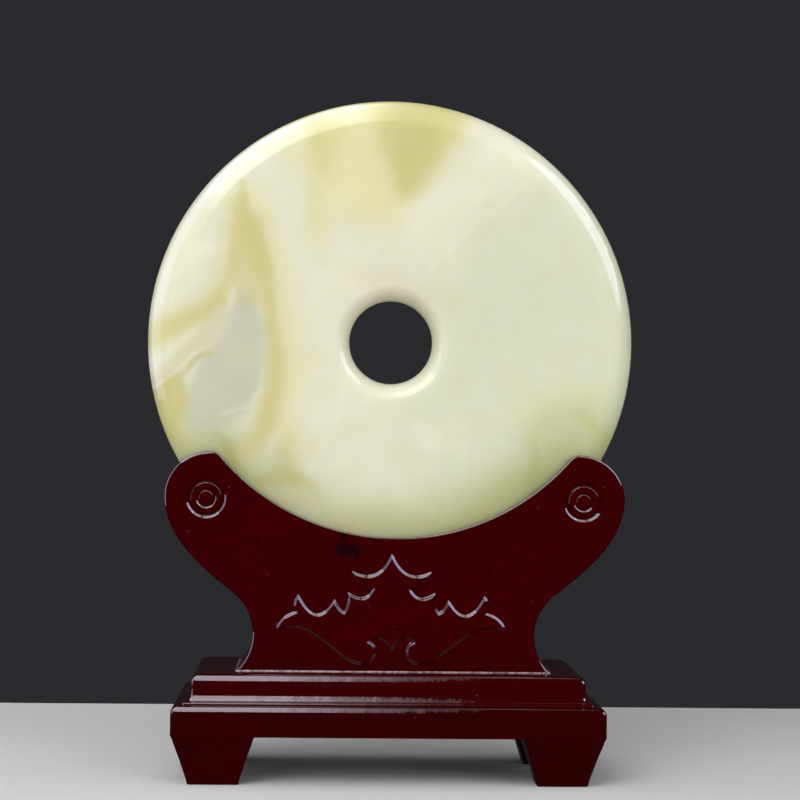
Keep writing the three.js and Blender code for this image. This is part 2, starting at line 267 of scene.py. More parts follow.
class Sheets:
    """Gathers the faces of one piece, in millimetres. Points that meet are welded when it is built."""

    def __init__(self):
        self.points = []
        self.faces = []

    def add(self, points, faces):
        base = len(self.points)
        self.points.extend(tuple(p) for p in np.asarray(points, float).reshape(-1, 3))
        self.faces.extend(tuple(base + int(i) for i in face) for face in faces)

    def grid(self, points, closed=False):
        """Quads over an array of rows and columns of points; closed joins the last column to the first."""
        points = np.asarray(points, float)
        rows, columns = points.shape[:2]
        faces = []
        for row in range(rows - 1):
            for column in range(columns if closed else columns - 1):
                after = (column + 1) % columns
                faces.append((
                    row * columns + column,
                    row * columns + after,
                    (row + 1) * columns + after,
                    (row + 1) * columns + column,
                ))
        self.add(points, faces)

    def flat(self, loops, y):
        """Triangles over an outline and its holes, drawn in X and Z, at one depth."""
        outlines = [[Vector((x, z, 0)) for x, z in loop] for loop in loops]
        points = [(x, y, z) for loop in loops for x, z in loop]
        self.add(points, tessellate_polygon(outlines))

    def build(self, name, material, cut_below=None):
        mesh = bpy.data.meshes.new(name)
        body = bmesh.new()
        vertices = [body.verts.new(Vector(p) * MM) for p in self.points]
        for face in self.faces:
            if len(set(face)) > 2:
                body.faces.new([vertices[i] for i in face])
        bmesh.ops.remove_doubles(body, verts=body.verts, dist=WELD * MM)
        if cut_below is not None:
            everything = list(body.verts) + list(body.edges) + list(body.faces)
            cut = bmesh.ops.bisect_plane(
                body, geom=everything, dist=WELD * MM,
                plane_co=(0, 0, cut_below * MM), plane_no=(0, 0, 1), clear_inner=True,
            )
            rim = [part for part in cut["geom_cut"] if isinstance(part, bmesh.types.BMEdge)]
            bmesh.ops.contextual_create(body, geom=rim)
        bmesh.ops.dissolve_degenerate(body, dist=WELD * MM, edges=body.edges)
        bmesh.ops.recalc_face_normals(body, faces=body.faces)
        body.to_mesh(mesh)
        body.free()
        mesh.materials.append(material)
        mesh.shade_smooth()
        mesh.set_sharp_from_angle(angle=SHARP_ANGLE)
        piece = bpy.data.objects.new(name, mesh)
        bpy.context.scene.collection.objects.link(piece)
        weighted = piece.modifiers.new("even_normals", "WEIGHTED_NORMAL")
        weighted.weight = NORMAL_WEIGHT
        weighted.keep_sharp = True
        return piece


def arc(x, z, radius, start, end, steps):
    angles = np.linspace(start, end, steps + 1)
    return np.stack([x + radius * np.cos(angles), z + radius * np.sin(angles)], axis=1)


def bezier(knots, steps):
    share = np.linspace(0, 1, steps + 1)[:, None]
    order = len(knots) - 1
    return sum(
        math.comb(order, i) * (1 - share) ** (order - i) * share ** i * np.array(knot, float)
        for i, knot in enumerate(knots)
    )


def even(line, step):
    """The same open line with points at even steps."""
    along = np.concatenate([[0], np.cumsum(np.linalg.norm(np.diff(line, axis=0), axis=1))])
    marks = np.linspace(0, along[-1], max(2, round(along[-1] / step)) + 1)
    return np.stack([np.interp(marks, along, line[:, axis]) for axis in (0, 1)], axis=1)


def inward(line):
    """Unit normals that point to the left of an open line, which is inward for an anticlockwise one."""
    tangent = np.gradient(line, axis=0)
    tangent /= np.linalg.norm(tangent, axis=1)[:, None]
    return np.stack([-tangent[:, 1], tangent[:, 0]], axis=1)


# Disc

def shoulder(face_radius, wall_radius):
    """A quarter of the disc's section, as radius and depth: from a flat face to the middle of a wall."""
    angle = np.linspace(0, math.pi / 2, SHOULDER_STEPS + 1)
    across = np.sin(angle) ** SHOULDER_POWER
    return np.stack([face_radius + (wall_radius - face_radius) * across, DISC_HALF * np.cos(angle)], axis=1)


def make_disc(material):
    rim = shoulder(DISC_RADIUS - RIM_SHOULDER, DISC_RADIUS)
    bore = shoulder(HOLE_RADIUS + HOLE_SHOULDER, HOLE_RADIUS)
    mirror = np.array([1, -1])
    section = np.concatenate([bore, (bore * mirror)[-2::-1], rim * mirror, rim[-2::-1], bore[:1]])
    turn = np.linspace(0, 2 * math.pi, DISC_SIDES, endpoint=False)
    radius, depth = section[:, :1], section[:, 1:]
    points = np.stack([
        radius * np.sin(turn),
        np.broadcast_to(depth, (len(section), DISC_SIDES)),
        DISC_CENTRE_Z + radius * np.cos(turn),
    ], axis=2)
    sheets = Sheets()
    sheets.grid(points, closed=True)
    return sheets.build("jade_disc", material)


# Stacks of rounded rectangles, for the plinth and its feet

def rounded_plan(half_x, half_y, radius, corner_steps=6):
    points = []
    for quarter, (sign_x, sign_y) in enumerate(((1, 1), (-1, 1), (-1, -1), (1, -1))):
        angle = (quarter + np.linspace(0, 1, corner_steps + 1)) * math.pi / 2
        points.append(np.stack([
            sign_x * (half_x - radius) + radius * np.cos(angle),
            sign_y * (half_y - radius) + radius * np.sin(angle),
        ], axis=1))
    return np.concatenate(points)


def stack(name, material, low, high, profile, corner):
    """A closed piece inside the box from low to high. The profile is insets and heights, bottom first."""
    middle = (low + high) / 2
    half = (high - low) / 2
    sheets = Sheets()
    rings = []
    for inset, height in profile:
        plan = rounded_plan(half[0] - inset, half[1] - inset, corner) + middle[:2]
        rings.append(np.column_stack([plan, np.full(len(plan), low[2] + height)]))
    sheets.grid(rings, closed=True)
    for ring in (rings[0], rings[-1]):
        sheets.add(ring, [range(len(ring))])
    return sheets.build(name, material)


def rounding(inset, height, radius, start, end, steps=5):
    """An arc in a profile, about the centre at inset and height. Zero degrees points outward."""
    angle = np.radians(np.linspace(start, end, steps + 1))
    return [(inset - radius * math.cos(a), height + radius * math.sin(a)) for a in angle]


def make_plinth(material):
    ledge_inset = LOWER_ROUND + LEDGE_WIDTH
    ledge = LOWER_FASCIA + LOWER_ROUND
    cove_start = ledge + LEDGE_STEP
    cove_top = cove_start + COVE_RADIUS
    upper_inset = ledge_inset + COVE_RADIUS
    soft = PLINTH_ARRIS
    profile = [
        *rounding(soft, soft, soft, -90, 0),
        *rounding(LOWER_ROUND, LOWER_FASCIA, LOWER_ROUND, 0, 90, LOWER_ROUND_STEPS),
        (ledge_inset, ledge),
        *rounding(ledge_inset + soft, cove_start - soft, soft, 0, 90),
    ]
    for share in COVE_SHARES:
        turn = share * math.pi / 2
        profile.append((
            ledge_inset + COVE_RADIUS * math.sin(turn),
            cove_start + COVE_RADIUS * (1 - math.cos(turn)),
        ))
    top_start = cove_top + UPPER_FASCIA
    profile += rounding(upper_inset + UPPER_ROUND, top_start, UPPER_ROUND, 0, 90, UPPER_ROUND_STEPS)
    return stack("moulded_plinth", material, plinth_low, plinth_high, profile, PLINTH_CORNER)


def make_foot(node, material):
    low, high = (np.array(corner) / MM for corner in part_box(node))
    height = high[2] - low[2]
    flare_start = height - FOOT_FLARE_HEIGHT
    profile = [(FOOT_TAPER + FOOT_ARRIS * inset, FOOT_ARRIS * rise) for inset, rise in FOOT_SOLE]
    for share in FOOT_SIDE_SHARES:
        inset = FOOT_TAPER + (FOOT_FLARE - FOOT_TAPER) * share
        swell = FOOT_SWELL * math.sin(share * math.pi)
        profile.append((inset + swell, FOOT_ARRIS + (flare_start - FOOT_ARRIS) * share))
    for share in FOOT_FLARE_SHARES:
        inset = FOOT_FLARE * (1 - share ** FOOT_FLARE_POWER)
        profile.append((inset, flare_start + FOOT_FLARE_HEIGHT * share))
    return stack(f"{node}_block", material, low, high, profile, FOOT_CORNER)


# Upright

TO_BACK = np.array([1, -1, 1])


def arm_tip():
    """Where the right arm's circle meets the circle of the hollow."""
    across = ARM_X
    down = ARM_HEIGHT - CRADLE_CENTRE
    apart = math.hypot(across, down)
    along = (CRADLE_RADIUS ** 2 - ARM_RADIUS ** 2 + apart ** 2) / (2 * apart)
    aside = math.sqrt(CRADLE_RADIUS ** 2 - along ** 2)
    return np.array([
        (along * across - aside * down) / apart,
        CRADLE_CENTRE + (along * down + aside * across) / apart,
    ])


def half_outline():
    """The right half of the board's outline, from below its foot to the bottom of the hollow."""
    tip = arm_tip()
    flare = UPRIGHT_FOOT_HALF - WAIST_HALF
    waist_radius = (flare ** 2 + WAIST_HEIGHT ** 2) / (2 * flare)
    waist_x = WAIST_HALF + waist_radius
    foot_angle = math.atan2(-WAIST_HEIGHT, UPRIGHT_FOOT_HALF - waist_x) + 2 * math.pi
    waist_end = math.pi - WAIST_SWEEP
    arm_end = math.atan2(tip[1] - ARM_HEIGHT, tip[0] - ARM_X) - TIP_EASE / ARM_RADIUS
    cradle_start = math.atan2(tip[1] - CRADLE_CENTRE, tip[0]) - TIP_EASE / CRADLE_RADIUS
    waist = arc(waist_x, WAIST_HEIGHT, waist_radius, foot_angle, waist_end, WAIST_STEPS)
    arm = arc(ARM_X, ARM_HEIGHT, ARM_RADIUS, ARM_START, arm_end, ARM_STEPS)
    cradle = arc(0, CRADLE_CENTRE, CRADLE_RADIUS, cradle_start, -math.pi / 2, CRADLE_STEPS)
    pull = np.linalg.norm(arm[0] - waist[-1]) * SIDE_PULL
    leave = waist[-1] + pull * np.array([math.sin(waist_end), -math.cos(waist_end)])
    arrive = arm[0] + pull * np.array([math.sin(ARM_START), -math.cos(ARM_START)])
    side = bezier([waist[-1], leave, arrive, arm[0]], SIDE_STEPS)
    ease = bezier([arm[-1], tip, cradle[0]], EASE_STEPS)
    sunk = waist[:1] - np.array([[0, 2 * ARRIS]])
    return np.concatenate([sunk, waist, side[1:], arm[1:], ease[1:], cradle[1:]])


def figure_outline():
    """The carved figure's closed outline, in the board's own frame."""
    def place(share):
        return (share[0] * RELIEF_WIDTH / 2, RELIEF_FOOT + share[1] * RELIEF_RISE)

    line = [np.array([place(FIGURE_STROKES[0][0])])]
    for i, stroke in enumerate(FIGURE_STROKES):
        knots = [place(share) for share in (stroke[1:] if i == 0 else stroke)]
        line.append(bezier([line[-1][-1], *knots], STROKE_STEPS)[1:])
    right = np.concatenate(line)
    left = right[-2:0:-1] * np.array([-1, 1])
    return np.concatenate([right, left]) + np.array([RELIEF_SHIFT, 0])


def depth_inside(points, outline):
    """How far each point lies inside a closed outline; outside is negative."""
    start = outline
    run = np.roll(outline, -1, axis=0) - start
    result = np.empty(len(points))
    for first in range(0, len(points), DEPTH_BATCH):
        some = points[first:first + DEPTH_BATCH, None, :]
        offset = some - start
        share = np.clip((offset * run).sum(axis=2) / (run ** 2).sum(axis=1), 0, 1)
        near = np.linalg.norm(offset - share[..., None] * run, axis=2).min(axis=1)
        crosses = (offset[..., 1] >= 0) != (offset[..., 1] >= run[:, 1])
        safe_rise = np.where(run[:, 1] == 0, 1, run[:, 1])
        beyond = offset[..., 0] < offset[..., 1] / safe_rise * run[:, 0]
        inside = (crosses & beyond).sum(axis=1) % 2 == 1
        result[first:first + DEPTH_BATCH] = np.where(inside, near, -near)
    return result


def smooth(share):
    share = np.clip(share, 0, 1)
    return share * share * (3 - 2 * share)


def carved_patch():
    """A fine grid over the carved figure, as an array of X, Y and Z in the board's own frame."""
    outline = figure_outline()
    low = outline.min(axis=0) - CARVING_MARGIN
    high = outline.max(axis=0) + CARVING_MARGIN
    columns, rows = (np.ceil((high - low) / CARVING_STEP)).astype(int) + 1
    x, z = np.meshgrid(np.linspace(low[0], high[0], columns), np.linspace(low[1], high[1], rows))
    depth = depth_inside(np.stack([x.ravel(), z.ravel()], axis=1), outline).reshape(x.shape)
    raised = RELIEF_HEIGHT * smooth((depth + CARVING_EDGE / 2) / CARVING_EDGE)
    return np.stack([x, -BOARD_BACK - raised, z], axis=2)


def groove_depth(radius):
    """How deep the rosette's rings are cut, from a short steep inner wall and a long outer one."""
    fine = np.linspace(0, ROSETTE_RADIUS, GROOVE_SAMPLES)
    sunk = np.zeros_like(fine)
    for inner, outer, depth in ROSETTE_GROOVES:
        bottom = inner + GROOVE_BOTTOM * (outer - inner)
        sunk += np.interp(fine, [inner, bottom, outer], [0, depth, 0])
    window = np.hanning(round(2 * GROOVE_SOFTNESS / (fine[1] - fine[0])) + 2)
    softened = np.convolve(sunk, window / window.sum(), mode="same")
    return np.interp(radius, fine, softened)


def rosette_patch(side):
    """A fine round grid over one ringed rosette, from its rim to its middle."""
    radius = np.linspace(ROSETTE_RADIUS, 0, ROSETTE_RINGS)[:, None]
    turn = np.linspace(0, 2 * math.pi, ROSETTE_SIDES, endpoint=False)
    depth = groove_depth(radius)
    return np.stack([
        side * (ARM_X + ROSETTE_SHIFT) + radius * np.cos(turn),
        np.broadcast_to(-BOARD_BACK + depth, (len(radius), len(turn))),
        ARM_HEIGHT - ROSETTE_DROP + radius * np.sin(turn),
    ], axis=2)


def border(patch):
    """The outer ring of a grid's points, in X and Z."""
    ring = np.concatenate([patch[0, :-1], patch[:-1, -1], patch[-1, :0:-1], patch[:0:-1, 0]])
    return ring[:, [0, 2]]


def board_rings(chain, arris, slot_arris):
    """Rings of points from the front face, round the arris and along the wall to the slot."""
    normal = inward(chain)
    result = []
    for t in np.linspace(0, math.pi / 2, ARRIS_STEPS + 1):
        place = chain + normal * (arris * (1 - math.sin(t)))[:, None]
        y = -BOARD_BACK + arris * (1 - math.cos(t))
        result.append(np.stack([place[:, 0], y, place[:, 1]], axis=1))
    for t in np.linspace(0, math.pi / 2, SLOT_ARRIS_STEPS + 1):
        place = chain + normal * (slot_arris * (1 - math.cos(t)))[:, None]
        y = -SLOT_HALF - slot_arris * (1 - math.sin(t))
        result.append(np.stack([place[:, 0], y, place[:, 1]], axis=1))
    return np.array(result)


def slot_ends(chain, slot_centre, slot_radius):
    """Moves the two points of the outline next to the slot's circle onto it, and gives their indices."""
    reach = np.linalg.norm(chain - slot_centre, axis=1) - slot_radius
    first = int(np.argmax(reach < 0))
    last = len(chain) - 1 - int(np.argmax(reach[::-1] < 0))
    for index, outside in ((first, first - 1), (last, last + 1)):
        share = reach[outside] / (reach[outside] - reach[index])
        chain[index] = chain[outside] + share * (chain[index] - chain[outside])
    return first, last


def arris_widths(chain, first, last):
    """The arris along the outline, finer in the hollow, and the slot's own, which fades at its ends."""
    steps_in = np.minimum(np.arange(len(chain)) - first, last - np.arange(len(chain)))
    slot_arris = SLOT_ARRIS * smooth(steps_in * CHAIN_STEP / SLOT_ARRIS_FADE)
    above_hollow = np.linalg.norm(chain - np.array([0, CRADLE_CENTRE]), axis=1) - CRADLE_RADIUS
    arris = HOLLOW_ARRIS + (ARRIS - HOLLOW_ARRIS) * smooth(above_hollow / HOLLOW_FADE)
    return arris, slot_arris


def slot_floor(chain, first, last, slot_centre, slot_radius):
    """The line of the slot's round floor from one end to the other."""
    angles = [math.atan2(*(chain[index] - slot_centre)[::-1]) for index in (first, last)]
    turn = np.linspace(*angles, SLOT_FLOOR_STEPS + 1)
    floor = slot_centre + slot_radius * np.stack([np.cos(turn), np.sin(turn)], axis=1)
    floor[0], floor[-1] = chain[first], chain[last]
    return floor


def add_walls(sheets, front, first, last):
    """The walls of both halves, and the parts between them where there is no slot."""
    sheets.grid(front)
    sheets.grid(front * TO_BACK)
    for part in (front[-1][:first + 1], front[-1][last:]):
        sheets.grid([part, part * TO_BACK])


def add_slot(sheets, lip, floor):
    """The slot's round floor, and its two flat sides up to the lip."""
    floor_front = np.column_stack([floor[:, 0], np.full(len(floor), -SLOT_HALF), floor[:, 1]])
    sheets.grid([floor_front, floor_front * TO_BACK])
    side = np.concatenate([lip, floor[-2:0:-1]])
    for y in (-SLOT_HALF, SLOT_HALF):
        sheets.flat([side], y)


def add_faces(sheets, rim):
    """The front with its carved figure and rosettes let in, and the plain back."""
    figure = carved_patch()
    rosettes = [rosette_patch(side) for side in (-1, 1)]
    rosette_rims = [rosette[0][:, [0, 2]] for rosette in rosettes]
    sheets.flat([rim, border(figure), *rosette_rims], -BOARD_BACK)
    sheets.flat([rim], BOARD_BACK)
    sheets.grid(figure)
    for rosette in rosettes:
        sheets.grid(rosette, closed=True)


def make_upright(material):
    right = half_outline()
    chain = even(np.concatenate([right, right[-2::-1] * np.array([-1, 1])]), CHAIN_STEP)
    slot_radius = DISC_RADIUS + SLOT_END_GAP
    slot_centre = np.array([-UPRIGHT_SHIFT, DISC_CENTRE_Z - PLINTH_TOP])
    first, last = slot_ends(chain, slot_centre, slot_radius)
    front = board_rings(chain, *arris_widths(chain, first, last))
    sheets = Sheets()
    add_walls(sheets, front, first, last)
    lip = front[-1][first:last + 1][:, [0, 2]]
    add_slot(sheets, lip, slot_floor(chain, first, last, slot_centre, slot_radius))
    add_faces(sheets, front[0][:, [0, 2]])
    sheets.points = [(x + UPRIGHT_SHIFT, y, z + PLINTH_TOP) for x, y, z in sheets.points]
    return sheets.build("carved_upright", material, cut_below=PLINTH_TOP)


def level_ring(plan, height):
    """A plan round the upright's foot, laid at one height."""
    return np.column_stack([plan[:, 0] + UPRIGHT_SHIFT, plan[:, 1], np.full(len(plan), height)])


def make_bead(material):
    """The thin line of lacquer that has gathered in the joint round the foot of the upright."""
    rings = []
    for angle in np.linspace(0, math.pi / 2, ARRIS_STEPS + 1):
        out = BEAD_RADIUS * math.cos(angle)
        plan = rounded_plan(UPRIGHT_FOOT_HALF + out, BOARD_BACK + out, ARRIS + out)
        height = PLINTH_TOP + BEAD_RADIUS * math.sin(angle)
        rings.append(level_ring(plan, height))
    inner = rounded_plan(UPRIGHT_FOOT_HALF - 2 * ARRIS, BOARD_BACK - ARRIS, ARRIS)
    for height in (PLINTH_TOP + BEAD_RADIUS, PLINTH_TOP):
        rings.append(level_ring(inner, height))
    rings.append(rings[0])
    sheets = Sheets()
    sheets.grid(rings, closed=True)
    return sheets.build("lacquer_bead", material)


# Materials

class Graph:
    """Short calls that add nodes to one material. An input is a number, a colour or a node's output."""

    def __init__(self, name):
        self.material = bpy.data.materials.new(name)
        self.material.use_nodes = True
        self.tree = self.material.node_tree
        self.shader = self.tree.nodes["Principled BSDF"]
        self.place = self.node("ShaderNodeTexCoord").outputs["Object"]

    def set(self, socket, value):
        if isinstance(value, bpy.types.NodeSocket):
            self.tree.links.new(value, socket)
        else:
            socket.default_value = value

    def node(self, kind, inputs=None, **settings):
        node = self.tree.nodes.new(kind)
        for key, value in settings.items():
            setattr(node, key, value)
        for key, value in (inputs or {}).items():
            self.set(node.inputs[key], value)
        return node

    def math(self, operation, *values):
        return self.node("ShaderNodeMath", dict(enumerate(values)), operation=operation).outputs[0]

    def vector_math(self, operation, *values):
        return self.node("ShaderNodeVectorMath", dict(enumerate(values)), operation=operation)

    def vector(self, operation, *values):
        return self.vector_math(operation, *values).outputs["Vector"]

    def measure(self, operation, *values):
        return self.vector_math(operation, *values).outputs["Value"]

    def scaled(self, vector, factor):
        inputs = {0: vector, "Scale": factor}
        return self.node("ShaderNodeVectorMath", inputs, operation="SCALE").outputs[0]

    def part(self, vector, axis):
        return self.node("ShaderNodeSeparateXYZ", {0: vector}).outputs[axis]

    def ramp(self, value, low, high, to_low=0.0, to_high=1.0):
        node = self.node("ShaderNodeMapRange", {
            "Value": value, "From Min": low, "From Max": high, "To Min": to_low, "To Max": to_high,
        }, interpolation_type="SMOOTHSTEP")
        return node.outputs["Result"]

    def mix(self, share, first, second, blend="MIX"):
        node = self.node("ShaderNodeMix", data_type="RGBA", blend_type=blend)
        self.set(node.inputs["Factor"], share)
        self.set(node.inputs[6], first)
        self.set(node.inputs[7], second)
        return node.outputs[2]

    def noise(self, place, scale, detail=3.0, roughness=0.5, distortion=0.0, output="Fac"):
        return self.node("ShaderNodeTexNoise", {
            "Vector": place, "Scale": scale, "Detail": detail,
            "Roughness": roughness, "Distortion": distortion,
        }).outputs[output]

    def stretch(self, place, scale):
        return self.node("ShaderNodeMapping", {"Vector": place, "Scale": scale}).outputs[0]

    def bump(self, height, strength, distance):
        return self.node("ShaderNodeBump", {
            "Height": height, "Strength": strength, "Distance": distance,
        }).outputs["Normal"]

    def warp(self, place, scale, amount, detail=2.0):
        """The same place, pushed about by a noise of the given amount."""
        push = self.vector("SUBTRACT", self.noise(place, scale, detail, output="Color"), (0.5, 0.5, 0.5))
        return self.vector("MULTIPLY_ADD", push, (2 * amount,) * 3, place)

    def flat_place(self, centre, lean):
        """Millimetres right of and above a centre. Depth moves the pattern sideways by the lean."""
        offset = self.vector("SUBTRACT", self.place, tuple(value * MM for value in centre))
        place = self.vector("MULTIPLY", offset, (1 / MM,) * 3)
        drift = self.scaled(lean, self.part(place, "Y"))
        return self.vector("MULTIPLY", self.vector("ADD", place, drift), (1, 0, 1))

    def spot(self, place, centre, radii, tilt=0.0):
        """One in the middle of an ellipse, falling softly to zero at its edge."""
        unit = self.node("ShaderNodeMapping", {
            "Vector": place,
            "Location": (centre[0], 0, centre[1]),
            "Rotation": (0, math.radians(-tilt), 0),
            "Scale": (radii[0], 1, radii[1]),
        }, vector_type="TEXTURE").outputs[0]
        return self.ramp(self.measure("LENGTH", unit), 0, 1, 1, 0)

    def lower_ring(self, place, radii, heights):
        """Grows from zero to one between two distances from the middle, and between two heights."""
        outward = self.ramp(self.measure("LENGTH", place), *radii)
        below = self.ramp(self.part(place, "Z"), heights[1], heights[0], 1, 0)
        return self.math("MULTIPLY", outward, below)

    def near_line(self, place, points, inner, outer):
        """One within the inner distance of the line through a few points, and zero past the outer one."""
        nearest = None
        for (x0, z0), (x1, z1) in zip(points, points[1:]):
            run = Vector((x1 - x0, 0, z1 - z0))
            offset = self.vector("SUBTRACT", place, (x0, 0, z0))
            along = self.measure("DOT_PRODUCT", offset, run / run.length_squared)
            along = self.node("ShaderNodeClamp", {"Value": along}).outputs[0]
            gap = self.measure("DISTANCE", offset, self.scaled(run, along))
            nearest = gap if nearest is None else self.math("MINIMUM", nearest, gap)
        return self.ramp(nearest, inner, outer, 1, 0)

    def inside(self, place, corners, soft):
        """One inside a convex outline, given anticlockwise, and zero outside. Soft is the edge's width."""
        share = None
        for (x0, z0), (x1, z1) in zip(corners, corners[1:] + corners[:1]):
            inward_aim = Vector((z0 - z1, 0, x1 - x0)).normalized()
            offset = self.vector("SUBTRACT", place, (x0, 0, z0))
            depth = self.measure("DOT_PRODUCT", offset, inward_aim)
            edge = self.ramp(depth, -soft / 2, soft / 2)
            share = edge if share is None else self.math("MULTIPLY", share, edge)
        return share

    def finish(self, **values):
        for name, value in values.items():
            self.set(self.shader.inputs[name.replace("_", " ").title().replace("Ior", "IOR")], value)
        return self.material


PEEL_SHARE = 0.35
PEEL_HEIGHT = 0.0006
LOWER_STRENGTH = 0.7
LEDGE_FADE = 0.2
STAIN_WARP = {"scale": 0.35, "amount": 2.2, "detail": 4.0}
STAIN_STRENGTH = 1.9
STAIN_DEPTHS = (4, 1)
DUST_SCALE = 190.0
DUST_EDGE = (0.018, 0.034)
PATTERN_LEAN = (0.35, 0, 0.15)
SOFT_WARP = {"scale": 0.03, "amount": 5.0, "detail": 0.5}
SHARP_WARP = {"scale": 0.06, "amount": 1.8, "detail": 1.0}
PALE_CLOUD_STRENGTH = 0.14
OLIVE_MIST_STRENGTH = 0.12
STONE_WAVE_HEIGHT = 0.002


def orange_peel(graph, strength):
    """The slight unevenness of brushed and polished lacquer."""
    peel = graph.noise(graph.place, scale=620.0, detail=2.0)
    wave = graph.noise(graph.place, scale=120.0, detail=1.0)
    height = graph.math("MULTIPLY_ADD", peel, PEEL_SHARE, wave)
    return graph.bump(height, strength, PEEL_HEIGHT)


def grained(graph):
    """Close reds: a fine grain along the board, under large soft clouds."""
    along = graph.stretch(graph.place, (40.0, 60.0, 70.0))
    grain = graph.noise(along, scale=5.0, detail=5.0, roughness=0.65, distortion=0.4)
    cloud = graph.noise(graph.place, scale=22.0, detail=2.0)
    base = graph.mix(graph.ramp(grain, 0.3, 0.75), LACQUER_DEEP, LACQUER_WARM)
    return graph.mix(graph.ramp(cloud, 0.3, 0.75, 0.0, 0.6), base, LACQUER_CLOUD)


def darker_below_ledge(graph, base):
    """The lower fascia and the feet are a little darker than the rest."""
    ledge = plinth_low[2] + LOWER_FASCIA + LOWER_ROUND
    height = graph.part(graph.place, "Z")
    lower = graph.ramp(height, (ledge + LEDGE_FADE) * MM, (ledge - LEDGE_FADE) * MM)
    return graph.mix(graph.math("MULTIPLY", lower, LOWER_STRENGTH), base, LACQUER_LOW)


def stained(graph, base):
    """Dark marks with ragged edges, on the front face alone."""
    place = graph.warp(graph.flat_place((0, -BOARD_BACK, 0), (0, 0, 0)), **STAIN_WARP)
    forward = graph.measure("DOT_PRODUCT", graph.place, (0, -1 / MM, 0))
    on_front = graph.ramp(forward, *(BOARD_BACK - depth for depth in STAIN_DEPTHS))
    for centre, radii in STAIN_SPOTS:
        share = graph.math("MULTIPLY", graph.spot(place, centre, radii), on_front)
        base = graph.mix(graph.math("MULTIPLY", share, STAIN_STRENGTH), base, STAIN_COLOUR)
    return base


def dusted(graph, base):
    """A few pale specks that are trapped in the lacquer."""
    cells = graph.node("ShaderNodeTexVoronoi", {
        "Vector": graph.place, "Scale": DUST_SCALE, "Randomness": 1.0,
    })
    speck = graph.ramp(cells.outputs["Distance"], *DUST_EDGE, 1.0, 0.0)
    return graph.mix(speck, base, DUST_COLOUR)


def make_lacquer():
    """Dark red lacquer over wood: faint grain, dark marks and trapped dust under a clear coat."""
    graph = Graph("lacquered_wood")
    return graph.finish(
        base_color=dusted(graph, stained(graph, darker_below_ledge(graph, grained(graph)))),
        roughness=0.3,
        specular_ior_level=0.0,
        coat_weight=1.0,
        coat_roughness=0.04,
        coat_ior=1.45,
        coat_normal=orange_peel(graph, strength=0.16),
        normal=orange_peel(graph, strength=0.08),
    )


def make_bead_lacquer():
    """The same lacquer where it has gathered in a joint, with pale flecks that are partly caught dust and
    partly a painted highlight.
    """
    graph = Graph("dust_and_highlight_lacquer")
    place = graph.stretch(graph.place, (200.0, 400.0, 400.0))
    # Pale flecks along the bead: partly dust, partly a painted highlight along the joint
    dust = graph.noise(place, scale=3.0, detail=3.0, roughness=0.7)
    base = graph.mix(graph.ramp(dust, 0.38, 0.62), BEAD_LACQUER, BEAD_DUST_AND_HIGHLIGHT)
    return graph.finish(base_color=base, roughness=0.4, coat_weight=0.25, coat_roughness=0.1)


def jade_pattern(graph):
    """The features of the stone and the painted shade, each laid over the ones before it."""
    centre = (0, -DISC_HALF, DISC_CENTRE_Z)
    leaning = graph.flat_place(centre, PATTERN_LEAN)
    plain = graph.flat_place(centre, (0, 0, 0))
    soft = graph.warp(leaning, **SOFT_WARP)
    sharp = graph.warp(leaning, **SHARP_WARP)
    kinds = {
        "spot": (graph.spot, soft),
        "ring": (graph.lower_ring, soft),
        "shade": (graph.spot, plain),
        "vein": (graph.near_line, sharp),
        "area": (graph.inside, sharp),
    }
    tone = JADE_CREAM
    for kind, strength, tint, *shape in JADE_FEATURES:
        form, place = kinds[kind]
        share = graph.math("MULTIPLY", form(place, *shape), strength)
        tone = graph.mix(share, tone, tint)
    return tone


def make_jade():
    """Pale polished stone that light enters: its pattern with painted shade, under faint clouds and a faint
    mist.
    """
    graph = Graph("jade")
    cloud = graph.noise(graph.place, scale=40.0, detail=2.0, roughness=0.4)
    mist = graph.noise(graph.place, scale=95.0, detail=2.0, roughness=0.4)
    wave = graph.noise(graph.place, scale=26.0, detail=1.0)
    tone = jade_pattern(graph)
    tone = graph.mix(graph.ramp(cloud, 0.3, 0.7, 0.0, PALE_CLOUD_STRENGTH), tone, PALE_CLOUD)
    tone = graph.mix(graph.ramp(mist, 0.4, 0.75, 0.0, OLIVE_MIST_STRENGTH), tone, OLIVE)
    return graph.finish(
        base_color=tone,
        roughness=0.11,
        ior=1.6,
        specular_ior_level=0.17,
        subsurface_weight=1.0,
        subsurface_radius=(0.016, 0.016, 0.011),
        subsurface_scale=1.0,
        normal=graph.bump(wave, 0.08, STONE_WAVE_HEIGHT),
    )


# Stage: camera, lights and floor

CAMERA_PLACE = (-28.8, -862.0, 139.8)
CAMERA_YAW = math.radians(2.19)
CAMERA_PITCH = math.radians(0.897)
CAMERA_ROLL = math.radians(0.72)
CAMERA_LENS = 93.84
STUDIO_GREY = (0.024, 0.0235, 0.027)
STUDIO_DARK = (0.015, 0.015, 0.017)
STUDIO_FILL = (0.2, 0.2, 0.2)
FLOOR_WIDTH = 1500
FLOOR_FRONT = 420
FLOOR_BACK = 210
FLOOR_THICKNESS = 25
FLOOR_EDGE = 3
FLOOR_CORNER = 30
FLOOR_TONES = ((0.70, 0.695, 0.68, 1), (0.73, 0.725, 0.71, 1))

